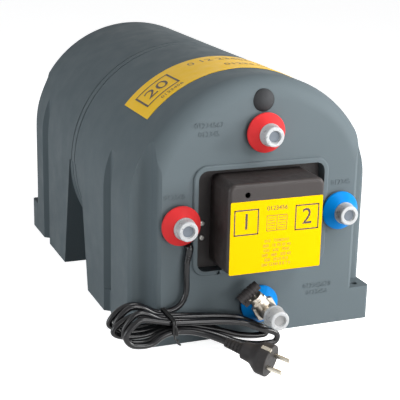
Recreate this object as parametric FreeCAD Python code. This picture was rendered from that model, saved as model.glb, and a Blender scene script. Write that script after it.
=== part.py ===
import FreeCAD, Part
import math
import os

os.makedirs("parts", exist_ok=True)
V = FreeCAD.Vector
RIGHT = V(1, 0, 0)
BACK = V(0, 1, 0)
FORWARD = V(0, -1, 0)
UP = V(0, 0, 1)
BIG = 600.0

# Storage water heater lying on two saddle feet, in millimetres.
# x runs to the right, y to the back, z up. While it is modelled, y is 0 on the front face.

# Casing: a drum on saddle feet, moulded in two halves that meet at the seam
casing_width = 306.0
front_half_long = 267.0
rear_half_long = 235.0
casing_length = front_half_long + rear_half_long
axis_height = 159.0
seam_swell = 0.4
rear_swell = 1.5
edge_round = 24.0
front_half_width = casing_width / 2
seam_half_width = front_half_width + seam_swell
rear_half_width = front_half_width + rear_swell
seam_y = front_half_long

# Bead along the seam, between two grooves
bead_width = 12.0
seam_groove_width = 2.4
seam_groove_depth = 2.7

# Corner pockets above the four bolted foot blocks
pocket_width = 25.0
pocket_depth = 29.0
pocket_inner_round = 12.0
pocket_edge_round = 5.0
foot_ledge_height = 43.0
foot_corner_round = 5.0
bolt_hole_radius = 4.5
bolt_from_side = 15.0
bolt_from_end = 13.0
bolt_x = casing_width / 2 - bolt_from_side

# Upright flutes in the flanks
flute_depth = 8.5
front_flute_from_end = 97.0
rear_flute_from_end = 70.0
flute_width = 31.0
flute_side_slope = 6.0
flute_round = 3.0
flute_step_height = 29.0
flute_step = 2.0

# Notch between the saddle feet
front_notch_reach = 67.0
rear_notch_reach = 49.0
notch_side_slope = 32.0
notch_drum_gap = 1.5

# Hollows under the feet
core_depth = 9.0
core_wall = 7.0
core_columns = 6
core_rows = 4

# Insulation and tank, both round the drum axis
casing_wall = 15.0
cavity_radius = casing_width / 2 - casing_wall
cavity_nose_step = 26.0
cavity_nose_radius = cavity_radius - cavity_nose_step
cavity_nose_y = 19.0
cavity_shoulder_y = 36.0
cavity_round = 8.0
fit_gap = 0.3
insulation_thick = 20.0
tank_radius = cavity_radius - insulation_thick
tank_wall = 1.5
tank_front_y = 50.0
tank_from_rear = 36.0
tank_rear_y = casing_length - tank_from_rear
head_crown = 230.0
head_knuckle = 30.0
head_skirt = 14.0

# Connection box and its recess in the front face
box_height = 148.0
recess_width = 160.0
recess_tall = 121.0
recess_depth = 14.0
recess_round = 11.0
rim_width = 6.0
rim_raise = 3.0
rim_round = 2.4
rim_notch_from_side = 26.4
rim_notch_x = rim_notch_from_side - recess_width / 2
rim_notch_radius = 2.6
base_gap = 1.0
base_thick = 3.0
base_hole_radius = 40.0
base_skirt_tall = 6.0
base_skirt_wall = 2.0
cover_width = 119.4
cover_tall = 108.0
cover_below = 54.5
cover_low = box_height - cover_below
cover_reach = 43.4
cover_round = 9.0
cover_edge = 4.5
cover_wall = 2.5
reset_x = -37.0
reset_above = 95.0
reset_z = cover_low + reset_above
reset_hole_radius = 3.4
cover_label_width = 115.0
cover_label_tall = 86.0
cover_label_margin = 1.8
cover_label_low = cover_low + cover_label_margin
label_thick = 0.4
base_screw_x = (recess_width + cover_width) / 4
base_screw_below = (5.5, 23.0)
base_screw_z = [box_height - below for below in base_screw_below]
base_screw_radius = 3.1
base_screw_shank = 1.6
base_screw_long = 7.0
base_screw_head = 1.8

# Flanged heating element behind the box
flange_radius = 50.0
flange_bore = 32.0
flange_face_y = 38.0
gasket_thick = 3.0
element_flange_thick = 8.0
flange_bolt_circle = 41.0
flange_bolts = 6
flange_bolt_radius = 3.0
flange_bolt_head_flats = 10.0
flange_bolt_head_tall = 4.0
flange_bolt_long = 22.0
element_radius = 4.2
element_half_spacing = 14.0
element_reach = 330.0
element_cold_end = 18.0
pocket_tube_radius = 6.0
pocket_tube_reach = 250.0
pocket_tube_z = 22.0
anode_radius = 11.0
anode_reach = 240.0
anode_z = -17.0
anode_stud_radius = 4.0
thermostat_width = 34.0
thermostat_tall = 52.0
thermostat_deep = 38.0
reset_radius = 2.5
reset_long = 7.0
reset_socket = 6.0
reset_gap = 0.1
reset_travel = 1.5
terminal_width = 42.0
terminal_tall = 16.0
terminal_deep = 17.0
terminal_x = 18.0
terminal_above = 14.5
terminal_z = cover_low + terminal_above
terminal_ways = 3
terminal_screw_radius = 2.4

# Ports: threaded nipples through the front face, with their collars and caps
port_side_z = 147.5
port_top_z = 249.5
port_low_z = 40.0
nipple_radius = 10.4
nipple_bore = 7.5
nipple_reach = 25.5
nipple_root = 8.0
pipe_radius = 8.5
pipe_bore = 7.0
pipe_straight = 30.0
pipe_bend = 13.0
head_port_circle = 84.0
head_port_y = 66.0
pipe_end_y = 84.0
collar_rim_radius = 23.5
collar_neck_radius = 15.4
collar_neck = 4.0
collar_gap = 0.3
port_side_x = recess_width / 2 + rim_width + collar_gap + collar_neck_radius
collar_rim_thick = 3.2
collar_nose_radius = 14.0
collar_reach = 17.0
collar_round = 1.4
cap_radius = 12.6
cap_nose_radius = 11.6
cap_flange_radius = 13.3
cap_flange_thick = 1.6
cap_front = 30.4
cap_dish_radius = 7.6
cap_dish_depth = 2.4
cap_round = 1.6
thread_gap = 0.1

# Rubber dome plug over the spare top hole
dome_radius = 13.0
dome_height = 6.0
dome_x = -1.5
dome_z = 286.0
dome_seat = 3.5
dome_stem_radius = 6.0
dome_stem_long = 14.0

# Inlet valve on the bottom port: check valve and lever-operated relief
valve_start = 17.3
valve_hex_flats = 27.0
valve_hex_long = 6.0
valve_radius = 11.0
valve_front = 46.0
valve_end = 57.8
valve_thread_radius = 10.4
valve_bore = 6.5
valve_chamber_radius = 8.6
valve_chamber_start = 28.0
valve_chamber_end = 43.0
valve_plug_y = 38.0
valve_plug_turn = 54.0
valve_plug_radius = 1.9
valve_plug_depth = 1.6
valve_cap_front = 64.0
poppet_radius = 7.8
poppet_thick = 2.5
poppet_stem_radius = 1.6
poppet_stem_long = 9.0
spring_wire = 0.5
relief_tilt = 40.0
relief_y = 27.0
relief_boss_radius = 9.6
relief_boss_top = 17.0
bonnet_radius = 8.6
bonnet_flats = 15.0
bonnet_top = 26.0
bonnet_bore = 6.0
bonnet_lid = 2.0
stem_radius = 1.5
stem_gap = 0.08
stem_low = 12.0
stem_washer_radius = 5.2
stem_washer_thick = 1.6
lug_x = -12.5
lug_half = 2.2
lug_radius = 3.4
pin_radius = 1.5
lever_pin_z = 34.5
lever_radius = 6.8
lever_low_x = -17.0
lever_high_x = 11.5
lever_slot_half = 2.6
lever_slot_end = 4.5
lever_slot_gap = 0.5
stem_head_gap = 0.7
lever_rib_pitch = 4.0
lever_rib_depth = 0.9

# Band label over the top of the casing
band_front_y = 67.0
band_rear_y = 152.0
band_half_angle = 50.5
band_lift = 0.05

# Mains lead: gland, free lead, tied hank, tail and moulded plug
cord_radius = 3.5
gland_z = 121.0
gland_axis_y = -6.8
gland_root_radius = 4.7
gland_tip_radius = 4.1
gland_stem_radius = 3.6
gland_stem_long = 10.0
gland_flange_radius = 4.8
gland_flange_thick = 1.4
gland_long = 20.0
gland_gap = 0.3
lead_gap = 0.05
gland_x = -(recess_width / 2 + rim_width + gland_gap + gland_root_radius)
lead_bend = V(gland_x - 0.2, -7.2, 74.0)
lead_end = V(gland_x - 8.0, -8.2, 60.0)

# Hank of loops side by side in front of the casing, drawn in at the tie
hank_loops = 4
hank_back_y = -9.5
hank_pitch = 8.0
waist_x = gland_x - 32.0
waist_low = 37.0
waist_high = 45.8
waist_rise = 0.24
left_x = -161.0
left_step = 1.2
left_end_x = -190.0
left_end_step = 3.0
left_low = 24.0
left_high = 58.0
left_low_rise = 2.4
left_high_rise = 1.1
right_x = -61.0
right_low = 20.0
right_high = 38.0
floor_x = -14.0
floor_z = 3.8
right_end_x = 6.0
right_end_step = 2.6
right_end_z = 12.0
return_z = 20.6
hank_slope = 0.018

# Wire tie round the waist of the hank
tie_wire = 0.9
tie_gap = 0.65
tie_half_spacing = 1.4
tie_corner = 4.0
tie_tail = 9.0

# Moulded plug lying on the rim of its face, and the tail that leads to it
plug_axis = V(0.62, -0.77, -0.165).normalize()
plug_face_x = -35.3
plug_face_y = -115.5
plug_radius = 18.5
plug_body_long = 35.0
plug_grip_radius = 11.5
plug_rim_long = 12.0
relief_sleeve_long = 22.0
relief_sleeve_radius = 5.2
relief_sleeve_ribs = 5
plug_roll = -24.0
plug_pin_radius = 2.4
plug_pin_long = 19.0
plug_pin_spacing = 19.0
earth_clip_width = 4.6
earth_clip_thick = 1.0
earth_clip_long = 11.0
tail_run = 20.0
tail_start = V(gland_x - 9.0, -50.0, 35.0)

frame_shift = V(0, -(casing_length - valve_cap_front) / 2, 0)


def export(name, shape):
    """Write one node, moved so that the origin is under the middle of the part."""
    placed = shape.copy()
    placed.translate(frame_shift)
    placed.exportStep("parts/" + name + ".step")


def line(start, end):
    return Part.LineSegment(start, end).toShape()


def rounded_wire(corners, place):
    """Closed wire through corners (a, b, radius); place(a, b) gives the point in space."""
    starts, middles, ends = [], [], []
    for index, (a, b, radius) in enumerate(corners):
        here = V(a, b, 0)
        before = corners[index - 1]
        after = corners[(index + 1) % len(corners)]
        back = (V(before[0], before[1], 0) - here).normalize()
        ahead = (V(after[0], after[1], 0) - here).normalize()
        half_angle = back.getAngle(ahead) / 2
        bisector = back + ahead
        if radius == 0 or bisector.Length < 1e-6:
            trim, middle = 0.0, here
        else:
            bisector.normalize()
            trim = radius / math.tan(half_angle)
            middle = here + bisector * (radius / math.sin(half_angle) - radius)
        starts.append(here + back * trim)
        middles.append(middle)
        ends.append(here + ahead * trim)
    edges = []
    for index in range(len(corners)):
        begin, finish = ends[index - 1], starts[index]
        if (finish - begin).Length > 1e-6:
            edges.append(line(place(begin.x, begin.y), place(finish.x, finish.y)))
        if (ends[index] - starts[index]).Length > 1e-6:
            points = [place(p.x, p.y) for p in (starts[index], middles[index], ends[index])]
            edges.append(Part.Arc(*points).toShape())
    return Part.Wire(edges)


def front_prism(corners, y_front, y_back):
    """Prism along y of an outline given in x and z."""
    face = Part.Face(rounded_wire(corners, lambda a, b: V(a, y_front, b)))
    return face.extrude(BACK * (y_back - y_front))


def top_prism(corners, z_low, z_high):
    """Prism along z of an outline given in x and y."""
    face = Part.Face(rounded_wire(corners, lambda a, b: V(a, b, z_low)))
    return face.extrude(UP * (z_high - z_low))


def side_prism(corners, x_low, x_high):
    """Prism along x of an outline given in y and z."""
    face = Part.Face(rounded_wire(corners, lambda a, b: V(x_low, a, b)))
    return face.extrude(RIGHT * (x_high - x_low))


def rectangle(x_low, x_high, y_low, y_high, radius=0.0):
    return [(x_low, y_low, radius), (x_high, y_low, radius), (x_high, y_high, radius), (x_low, y_high, radius)]


def turned(corners, base, direction):
    """Solid turned about an axis, from an outline in (distance along the axis, radius, rounding)."""
    side = UP if abs(direction.z) < 0.5 else RIGHT
    side = (side - direction * side.dot(direction)).normalize()
    wire = rounded_wire(corners, lambda s, r: base + direction * s + side * r)
    return Part.Face(wire).revolve(base, direction, 360)


def tube(radius, bore, start, end, base, direction):
    return turned([(start, bore, 0), (end, bore, 0), (end, radius, 0), (start, radius, 0)], base, direction)


def rod(radius, start, end, base, direction):
    return Part.makeCylinder(radius, end - start, base + direction * start, direction)


def hexagon(flats, start, end, base, direction):
    side = UP if abs(direction.z) < 0.5 else RIGHT
    across = direction.cross(side)
    reach = flats / math.sqrt(3)
    points = []
    for corner in range(7):
        angle = math.radians(60 * corner + 30)
        offset = side * (reach * math.cos(angle)) + across * (reach * math.sin(angle))
        points.append(base + direction * start + offset)
    return Part.Face(Part.makePolygon(points)).extrude(direction * (end - start))


def bent_path(points, radii):
    """Wire of straight runs joined by tangent arcs, one radius for each inner point."""
    edges = []
    begin = points[0]
    for index, radius in enumerate(radii):
        here = points[index + 1]
        back = (points[index] - here).normalize()
        ahead = (points[index + 2] - here).normalize()
        half_angle = back.getAngle(ahead) / 2
        trim = radius / math.tan(half_angle)
        bisector = (back + ahead).normalize()
        middle = here + bisector * (radius / math.sin(half_angle) - radius)
        edges.append(line(begin, here + back * trim))
        edges.append(Part.Arc(here + back * trim, middle, here + ahead * trim).toShape())
        begin = here + ahead * trim
    edges.append(line(begin, points[-1]))
    return Part.Wire(edges)


def swept(path, radius):
    """Round bar along a wire."""
    edge = path.OrderedEdges[0]
    start = edge.valueAt(edge.FirstParameter)
    direction = edge.tangentAt(edge.FirstParameter)
    profile = Part.Wire(Part.makeCircle(radius, start, direction))
    return path.makePipeShell([profile], True, False)


def arc_to(start, corner, end):
    """Arc from start to end, tangent to the lines through corner."""
    middle = (start + end) * 0.5
    lift = corner - middle
    half_chord = (end - start).Length / 2
    if lift.Length < 1e-5:
        return line(start, end)
    sagitta = half_chord * math.tan(math.atan(lift.Length / half_chord) / 2)
    return Part.Arc(start, middle + lift.normalize() * sagitta, end).toShape()


def biarc(start, start_tangent, end, end_tangent):
    """Two arcs that join two points with given tangents."""
    chord, tangents = end - start, start_tangent + end_tangent
    along, bend = chord.dot(tangents), 2 * (1 - start_tangent.dot(end_tangent))
    if bend < 1e-9:
        reach = chord.dot(chord) / (2 * along)
    else:
        reach = (math.sqrt(along * along + bend * chord.dot(chord)) - along) / bend
    near, far = start + start_tangent * reach, end - end_tangent * reach
    joint = (near + far) * 0.5
    return [arc_to(start, near, joint), arc_to(joint, far, end)]


def lead_radii(points):
    """Radius of each bend of a lead: its tangent takes less than half of the shorter run."""
    radii = []
    for index in range(1, len(points) - 1):
        back, ahead = points[index - 1] - points[index], points[index + 1] - points[index]
        half_angle = back.getAngle(ahead) / 2
        radii.append(0.45 * min(back.Length, ahead.Length) * math.tan(half_angle))
    return radii


def both_sides(shape):
    return [shape, shape.mirror(V(0, 0, 0), RIGHT)]


# Casing halves, modelled with the outer end at y 0 and the seam at the half's own length

def drum_radius(y):
    return front_half_width + seam_swell * y / front_half_long


def rounded_block(end_half_width, half_long):
    """Half of the bread-loaf body: drum and upright flanks, with the broad rounding round its outer end."""
    drum = Part.makeCone(end_half_width, seam_half_width, half_long, V(0, 0, axis_height), BACK)
    flanks = [(-end_half_width, 0, 0), (end_half_width, 0, 0), (seam_half_width, half_long, 0),
              (-seam_half_width, half_long, 0)]
    block = drum.fuse(top_prism(flanks, 0, axis_height)).removeSplitter()
    rim = [edge for edge in block.Edges if edge.BoundBox.YMax < 0.01 and edge.BoundBox.ZMax > 1]
    return block.makeFillet(edge_round, rim)


def foot_block(end_half_width):
    """Bolted corner block of a foot, on the right side."""
    inner = end_half_width - pocket_width - 1
    depth = edge_round + foot_corner_round
    corners = [(inner, 0, 0), (end_half_width, 0, foot_corner_round), (end_half_width, depth, 0), (inner, depth, 0)]
    return top_prism(corners, 0, foot_ledge_height)


def pocket_cut(end_half_width):
    """Space above a foot block, with a hollow inner corner and two rounded outer edges."""
    inner = end_half_width - pocket_width
    edge = pocket_edge_round
    corners = [(inner - edge, -edge, 0), (inner - edge, 0, 0), (inner, edge * 0.6, edge),
               (inner, pocket_depth, pocket_inner_round), (end_half_width - edge * 0.6, pocket_depth, edge),
               (end_half_width + 1, pocket_depth + edge, 0), (end_half_width + edge, pocket_depth + edge, 0),
               (end_half_width + edge, -edge, 0)]
    return top_prism(corners, foot_ledge_height, BIG)


def flute_cut(start):
    """Upright flute in the right flank, a little shallower below its step."""
    floor_x = front_half_width - flute_depth
    end, slope = start + flute_width, flute_side_slope
    outer_x = front_half_width + 2 * flute_round
    lean = slope / flute_depth * (outer_x - floor_x)

    def outline(step):
        return [(outer_x, start - lean + slope, 0), (outer_x, end + lean - slope, 0),
                (floor_x + step, end - slope, flute_round), (floor_x + step, start + slope, flute_round)]

    upper = top_prism(outline(0), flute_step_height, BIG)
    lower = top_prism(outline(flute_step), -1, flute_step_height + 1)
    return upper.fuse(lower)


def notch_cut(start):
    """Wedge between the feet, down both flanks and under the drum."""
    corners = [(start, -1, 0), (BIG, -1, 0), (BIG, axis_height, 0), (start + notch_side_slope, axis_height, 0)]
    wedge = side_prism(corners, -BIG, BIG)
    return wedge.cut(rod(seam_half_width - notch_drum_gap, -BIG, BIG, V(0, 0, axis_height), BACK))


def core_cuts(end_half_width, foot_long):
    """Rows of shallow hollows under the foot, with ribs between them."""
    width = 2 * (end_half_width - pocket_width - core_wall)
    depth = foot_long - 2 * core_wall
    pitch_x = (width + core_wall) / core_columns
    pitch_y = (depth + core_wall) / core_rows
    cuts = []
    for column in range(core_columns):
        for row in range(core_rows):
            corner = V(-width / 2 + column * pitch_x, core_wall + row * pitch_y, -1)
            cuts.append(Part.makeBox(pitch_x - core_wall, pitch_y - core_wall, core_depth + 1, corner))
    return cuts


def cavity(half_long):
    """Space for the insulation in one half, from the outer end to the seam."""
    end = half_long + 1
    corners = [(cavity_nose_y, 0, 0), (cavity_nose_y, cavity_nose_radius, cavity_round),
               (cavity_shoulder_y, cavity_radius, cavity_round), (end, cavity_radius, 0), (end, 0, 0)]
    return turned(corners, V(0, 0, axis_height), BACK)


def seam_groove(half_long):
    groove_end = half_long - bead_width / 2
    floor = seam_half_width - seam_groove_depth
    return tube(BIG, floor, groove_end - seam_groove_width, groove_end, V(0, 0, axis_height), BACK)


def casing_half(end_half_width, half_long, flute_start, foot_long):
    """One moulded half of the casing, still without openings in its end."""
    body = rounded_block(end_half_width, half_long)
    body = body.fuse(both_sides(foot_block(end_half_width))).removeSplitter()
    cuts = both_sides(pocket_cut(end_half_width)) + both_sides(flute_cut(flute_start))
    hole = rod(bolt_hole_radius, -1, foot_ledge_height + 1, V(bolt_x, bolt_from_end, 0), UP)
    cuts += both_sides(hole) + core_cuts(end_half_width, foot_long)
    cuts += [notch_cut(foot_long), seam_groove(half_long), cavity(half_long)]
    return body.cut(cuts)


def to_rear(shape):
    """Turn a shape that was modelled at the front into its place at the rear."""
    return shape.mirror(V(0, casing_length / 2, 0), BACK)


# Ports

def port_centres():
    return {"hot_outlet": V(0, 0, port_top_z), "engine_inlet": V(-port_side_x, 0, port_side_z),
            "engine_outlet": V(port_side_x, 0, port_side_z), "cold_inlet": V(0, 0, port_low_z)}


def head_entry(centre):
    """Point where the pipe of a port meets the front of the tank."""
    axis = V(0, 0, axis_height)
    return axis + (centre - axis).normalize() * head_port_circle


def pipe_path(centre):
    entry = head_entry(centre)
    points = [centre + BACK * nipple_root, centre + BACK * pipe_straight,
              entry + BACK * head_port_y, entry + BACK * pipe_end_y]
    return bent_path(points, [pipe_bend, pipe_bend])


def port_pipe(centre):
    """Threaded nipple and the bent pipe that joins it to the tank."""
    nipple = tube(nipple_radius, nipple_bore, -nipple_root, nipple_reach, centre, FORWARD)
    path = pipe_path(centre)
    pipe = swept(path, pipe_radius).cut(swept(path, pipe_bore))
    throat = tube(nipple_radius, pipe_bore, -nipple_root - 1, -nipple_root, centre, FORWARD)
    return nipple.fuse([throat, pipe]).removeSplitter()


def pipe_clearance(centre):
    """Room that the casing, insulation and tank head leave round a pipe."""
    sleeve = swept(pipe_path(centre), pipe_radius + fit_gap)
    hole = rod(nipple_radius + fit_gap, -nipple_root - 2, BIG / 2, centre, FORWARD)
    return sleeve.fuse(hole)


def collar(centre):
    """Coloured collar: narrow neck on the casing, wide rim and conical nose round the nipple."""
    bore = nipple_radius + fit_gap
    rim_front = collar_neck + collar_rim_thick
    corners = [(0, bore, 0), (0, collar_neck_radius, 0), (collar_neck, collar_neck_radius, 0),
               (collar_neck, collar_rim_radius, collar_round), (rim_front, collar_rim_radius, collar_round),
               (collar_reach, collar_nose_radius, collar_round), (collar_reach, bore, 0)]
    return turned(corners, centre, FORWARD)


def thread_cap(centre, thread, outer, start, front):
    """Translucent push-on thread protector with a dished front."""
    bore = thread + thread_gap
    nose = outer - (cap_radius - cap_nose_radius)
    flange = outer + (cap_flange_radius - cap_radius)
    inside = front - cap_dish_depth - cap_flange_thick
    corners = [(start, bore, 0), (start, flange, 0), (start + cap_flange_thick, flange, 0),
               (start + 2 * cap_flange_thick, outer, 0), (front, nose, cap_round),
               (front, cap_dish_radius, 0), (front - cap_dish_depth, cap_dish_radius - 1, 0),
               (front - cap_dish_depth, 0, 0), (inside, 0, 0), (inside, bore, 0)]
    return turned(corners, centre, FORWARD)


# Front and rear casing

def recess_outline(grow, radius):
    half, tall = recess_width / 2 + grow, recess_tall / 2 + grow
    return rectangle(-half, half, box_height - tall, box_height + tall, radius)


def front_shell():
    """Front half of the casing, with the rimmed recess and the port openings."""
    foot_long = front_half_long - front_notch_reach
    body = casing_half(front_half_width, front_half_long, front_flute_from_end, foot_long)
    rim = front_prism(recess_outline(rim_width, recess_round + rim_width), -rim_raise, 1)
    crest = [edge for edge in rim.Edges if edge.BoundBox.YMax < -rim_raise + 0.01]
    rim = rim.makeFillet(rim_round, crest)
    body = body.fuse(rim)
    cuts = [front_prism(recess_outline(0, recess_round), -rim_raise - 1, recess_depth)]
    cuts.append(rod(rim_notch_radius, -1, rim_raise + 1,
                    V(rim_notch_x, 0, box_height - recess_tall / 2 - rim_width / 2), FORWARD))
    cuts.append(rod(flange_radius + 2, -BIG, BIG / 2, V(0, 0, box_height), FORWARD).common(
        front_prism(recess_outline(-1, recess_round), 0, cavity_nose_y + 1)))
    for centre in port_centres().values():
        cuts.append(rod(nipple_radius + fit_gap, -cavity_shoulder_y, BIG / 2, centre, FORWARD))
    dome = V(dome_x, 0, dome_z)
    cuts.append(rod(dome_radius + fit_gap, -dome_seat, BIG / 2, dome, FORWARD))
    cuts.append(rod(dome_stem_radius + thread_gap, -dome_seat - dome_stem_long - 1, 0, dome, FORWARD))
    gland = V(gland_x, 0, gland_z)
    cuts.append(rod(gland_stem_radius + thread_gap, -gland_stem_long - 1, BIG / 2, gland, FORWARD))
    screw_end = -recess_depth - base_screw_long
    for x in (-base_screw_x, base_screw_x):
        for z in base_screw_z:
            cuts.append(rod(base_screw_shank + thread_gap, screw_end, 0, V(x, 0, z), FORWARD))
    return body.cut(cuts)


def rear_shell():
    half = casing_half(rear_half_width, rear_half_long, rear_flute_from_end, rear_half_long - rear_notch_reach)
    return to_rear(half)


def insulation_half(half_long):
    """Foam round one half of the tank."""
    nose = cavity_nose_y + fit_gap
    corners = [(nose, 0, 0), (nose, cavity_nose_radius - fit_gap, cavity_round),
               (cavity_shoulder_y + fit_gap, cavity_radius - fit_gap, cavity_round),
               (half_long, cavity_radius - fit_gap, 0), (half_long, 0, 0)]
    return turned(corners, V(0, 0, axis_height), BACK)


# Tank

def dished_profile(radius, crown, knuckle, apex_y):
    """Points of a dished head: apex, middle of the crown, tangent point, middle of the knuckle, skirt."""
    crown_y = apex_y + crown
    knuckle_y = crown_y - math.sqrt((crown - knuckle) ** 2 - (radius - knuckle) ** 2)
    turn = math.atan2(radius - knuckle, crown_y - knuckle_y)

    def on_crown(angle):
        return crown_y - crown * math.cos(angle), crown * math.sin(angle)

    def on_knuckle(angle):
        return knuckle_y - knuckle * math.cos(angle), radius - knuckle + knuckle * math.sin(angle)

    return [on_crown(0), on_crown(turn / 2), on_crown(turn), on_knuckle((turn + math.pi / 2) / 2),
            on_knuckle(math.pi / 2)]


def dished_solid(radius, crown, knuckle, apex_y, end_y):
    """Closed solid with a dished front end and a flat back at end_y."""
    apex, crown_mid, tangent, knuckle_mid, skirt = [
        V(0, y, axis_height + r) for y, r in dished_profile(radius, crown, knuckle, apex_y)]
    rim, centre = V(0, end_y, axis_height + radius), V(0, end_y, axis_height)
    crown_arc = Part.Arc(apex, crown_mid, tangent).toShape()
    knuckle_arc = Part.Arc(tangent, knuckle_mid, skirt).toShape()
    wire = Part.Wire([crown_arc, knuckle_arc, line(skirt, rim), line(rim, centre), line(centre, apex)])
    return Part.Face(wire).revolve(V(0, 0, axis_height), BACK, 360)


def skirt_end():
    return dished_profile(tank_radius, head_crown, head_knuckle, tank_front_y)[-1][0] + head_skirt


def tank_outside(end_y):
    return dished_solid(tank_radius, head_crown, head_knuckle, tank_front_y, end_y)


def tank_head():
    """Pressed front head with a short skirt."""
    inside = dished_solid(tank_radius - tank_wall, head_crown - tank_wall, head_knuckle - tank_wall,
                          tank_front_y + tank_wall, skirt_end() + 1)
    return tank_outside(skirt_end()).cut(inside)


def rear_y(front_distance):
    """Depth at the rear that mirrors a depth at the front of the tank."""
    return tank_front_y + tank_rear_y - front_distance


def tank_barrel():
    start = skirt_end()
    return tube(tank_radius, tank_radius - tank_wall, start, rear_y(start), V(0, 0, axis_height), BACK)


def insulation_front():
    outside = tank_outside(seam_y + 1)
    grown = dished_solid(tank_radius + fit_gap, head_crown + fit_gap, head_knuckle + fit_gap,
                         tank_front_y - fit_gap, seam_y + 1)
    foam = insulation_half(front_half_long).cut(outside.fuse(grown))
    cuts = [pipe_clearance(centre) for centre in port_centres().values()]
    cuts.append(rod(flange_radius + 2, -BIG / 4, 0, V(0, 0, box_height), FORWARD))
    return foam.cut(cuts)


def insulation_rear():
    grown = dished_solid(tank_radius + fit_gap, head_crown + fit_gap, head_knuckle + fit_gap,
                         tank_from_rear - fit_gap, rear_half_long + 1)
    return to_rear(insulation_half(rear_half_long).cut(grown))


def front_head():
    cuts = [swept(pipe_path(centre), pipe_radius + fit_gap / 2) for centre in port_centres().values()]
    cuts.append(rod(flange_bore, -BIG / 4, 0, V(0, 0, box_height), FORWARD))
    return tank_head().cut(cuts)


def rear_head():
    return tank_head().mirror(V(0, (tank_front_y + tank_rear_y) / 2, 0), BACK)


# Flanged element, its gasket, bolts and inner pieces

box_centre = V(0, 0, box_height)


def bolt_centres():
    centres = []
    for index in range(flange_bolts):
        angle = 2 * math.pi * (index + 0.5) / flange_bolts
        offset = V(math.cos(angle), 0, math.sin(angle)) * flange_bolt_circle
        centres.append(box_centre + offset)
    return centres


def bolt_clearances(start, end):
    return [rod(flange_bolt_radius + thread_gap, start, end, centre, BACK) for centre in bolt_centres()]


def tank_flange():
    ring = tube(flange_radius, flange_bore, flange_face_y, tank_front_y + head_knuckle, box_centre, BACK)
    bolt_end = bolt_start_y() + flange_bolt_head_tall + flange_bolt_long
    return ring.cut([tank_outside(seam_y)] + bolt_clearances(flange_face_y - 1, bolt_end + 1))


def gasket():
    ring = tube(flange_radius, flange_bore, flange_face_y - gasket_thick, flange_face_y, box_centre, BACK)
    return ring.cut(bolt_clearances(flange_face_y - gasket_thick - 1, flange_face_y + 1))


def flange_front_y():
    return flange_face_y - gasket_thick - element_flange_thick


def bolt_start_y():
    return flange_front_y() - flange_bolt_head_tall


def element_flange():
    plate = turned([(flange_front_y(), 0, 0), (flange_front_y(), flange_radius, 1.5),
                    (flange_face_y - gasket_thick, flange_radius, 0), (flange_face_y - gasket_thick, 0, 0)],
                   box_centre, BACK)
    cuts = bolt_clearances(flange_front_y() - 1, flange_face_y)
    for x in (-element_half_spacing, element_half_spacing):
        cuts.append(rod(element_radius, 0, flange_face_y, box_centre + V(x, 0, 0), BACK))
    cuts.append(rod(pocket_tube_radius, 0, flange_face_y, box_centre + V(0, 0, pocket_tube_z), BACK))
    cuts.append(rod(anode_stud_radius, 0, flange_face_y, box_centre + V(0, 0, anode_z), BACK))
    return plate.cut(cuts)


def flange_bolt_group():
    bolts = []
    for centre in bolt_centres():
        start = bolt_start_y()
        head = hexagon(flange_bolt_head_flats, start, flange_front_y(), centre, BACK)
        shank = rod(flange_bolt_radius, flange_front_y(), flange_front_y() + flange_bolt_long, centre, BACK)
        bolts.append(head.fuse(shank).removeSplitter())
    return Part.makeCompound(bolts)


def heating_element():
    """Hairpin element: two legs through the flange and a half-round return."""
    left, right = box_centre + V(-element_half_spacing, 0, 0), box_centre + V(element_half_spacing, 0, 0)
    start = flange_front_y() - element_cold_end / 2
    turn_y = element_reach - element_half_spacing
    path = Part.Wire([line(left + BACK * start, left + BACK * turn_y),
                      Part.Arc(left + BACK * turn_y, box_centre + BACK * element_reach,
                               right + BACK * turn_y).toShape(),
                      line(right + BACK * turn_y, right + BACK * start)])
    return swept(path, element_radius)


def thermostat_pocket():
    base = box_centre + V(0, 0, pocket_tube_z)
    start = flange_front_y() - 2
    corners = [(start, 0, 0), (start, pocket_tube_radius, 0), (pocket_tube_reach, pocket_tube_radius, 4),
               (pocket_tube_reach, 0, 0)]
    return turned(corners, base, BACK)


def anode_rod():
    base = box_centre + V(0, 0, anode_z)
    shoulder = flange_face_y + 2
    corners = [(flange_front_y() - 3, 0, 0), (flange_front_y() - 3, anode_stud_radius, 0),
               (shoulder, anode_stud_radius, 0), (shoulder, anode_radius, 2),
               (anode_reach, anode_radius, 2), (anode_reach, 0, 0)]
    return turned(corners, base, BACK)


def exchanger_tube():
    """Hairpin heat exchanger between the two engine ports, inside the tank."""
    centres = port_centres()
    left = head_entry(centres["engine_inlet"]) + BACK * pipe_end_y
    right = head_entry(centres["engine_outlet"]) + BACK * pipe_end_y
    leg = V(0, rear_y(skirt_end()) - pipe_end_y - head_port_circle, 0)
    bow = (left + right) * 0.5 + leg + BACK * ((right - left).Length / 2)
    path = Part.Wire([line(left, left + leg), Part.Arc(left + leg, bow, right + leg).toShape(),
                      line(right + leg, right)])
    return swept(path, pipe_radius).cut(swept(path, pipe_bore))


# Connection box

base_front_y = recess_depth - base_thick


def cover_outline(shrink, radius):
    half = cover_width / 2 - shrink
    return rectangle(-half, half, cover_low + shrink, cover_low + cover_tall - shrink, radius)


def box_base():
    plate = front_prism(recess_outline(-base_gap, recess_round - base_gap), base_front_y, recess_depth)
    inset = cover_wall + fit_gap
    skirt = front_prism(cover_outline(inset, cover_round - inset), base_front_y - base_skirt_tall, base_front_y)
    inner = inset + base_skirt_wall
    skirt = skirt.cut(front_prism(cover_outline(inner, cover_round - inner),
                                  base_front_y - base_skirt_tall - 1, base_front_y))
    cuts = [rod(base_hole_radius, -recess_depth - 1, 0, box_centre, FORWARD)]
    for x in (-base_screw_x, base_screw_x):
        for z in base_screw_z:
            cuts.append(rod(base_screw_shank + fit_gap, -recess_depth - 1, 0, V(x, 0, z), FORWARD))
    return plate.fuse(skirt).removeSplitter().cut(cuts)


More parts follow.
